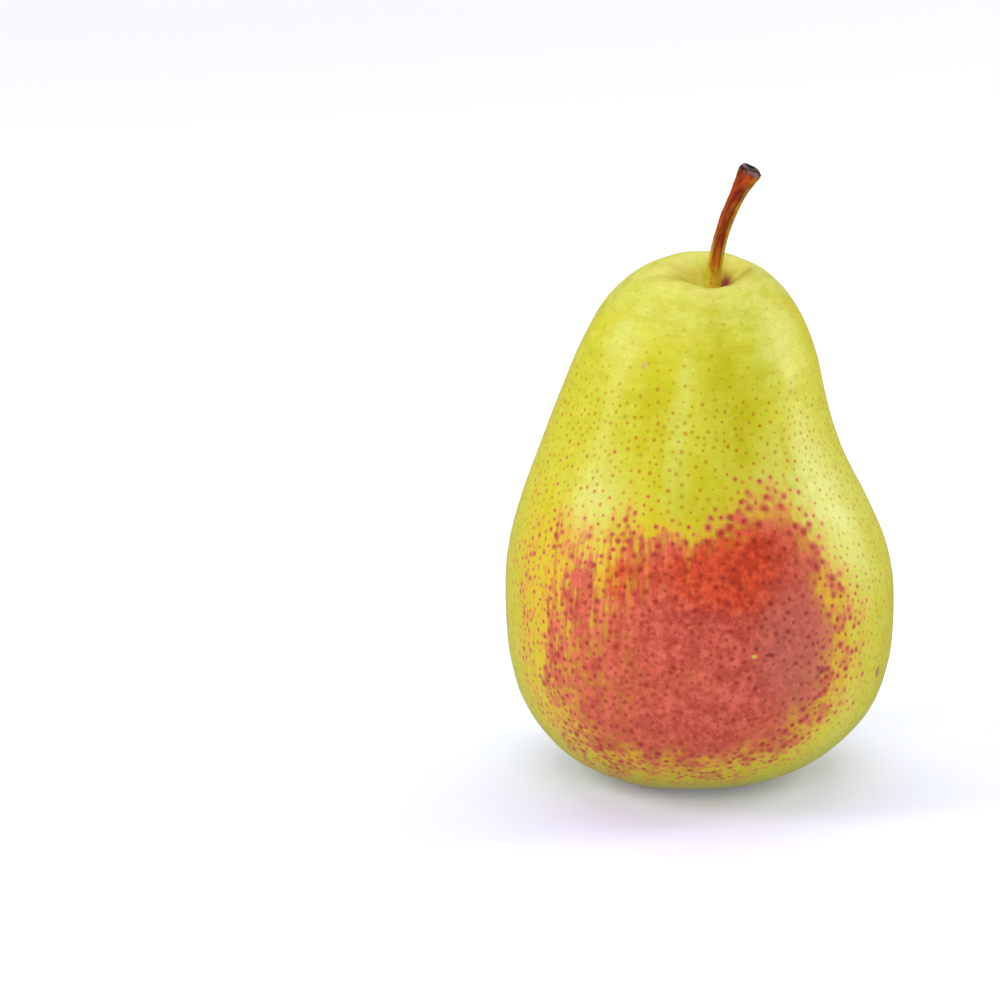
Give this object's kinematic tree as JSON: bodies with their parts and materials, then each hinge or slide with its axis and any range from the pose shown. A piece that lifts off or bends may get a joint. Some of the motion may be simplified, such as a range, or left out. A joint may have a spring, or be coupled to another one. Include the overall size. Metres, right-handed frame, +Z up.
{
  "type": "pear",
  "caption": "Blush pear standing upright: rounded belly, slender lopsided neck, folded stalk cavity with a curved woody stalk, and a dried calyx in the basin underneath.",
  "frame": {"origin": "the floor point under the middle of the belly; the fruit stands on five small level pads of its foot", "axes": "+Z up through the crown, -Y towards the blushed front, +X to the side that the stalk leans to"},
  "size_m": [0.066, 0.066, 0.1057],
  "materials": {
    "skin": "waxy yellow-green skin with a red blush on the front and dark pores",
    "bark": "ridged red-brown bark, ochre on one side, with a dark scar at the tip",
    "dried_flower": "dry, dark brown and grey"
  },
  "bodies": {
    "root": {"fruit": "skin", "stalk": "bark", "calyx": "dried_flower"}
  },
  "joints": []
}
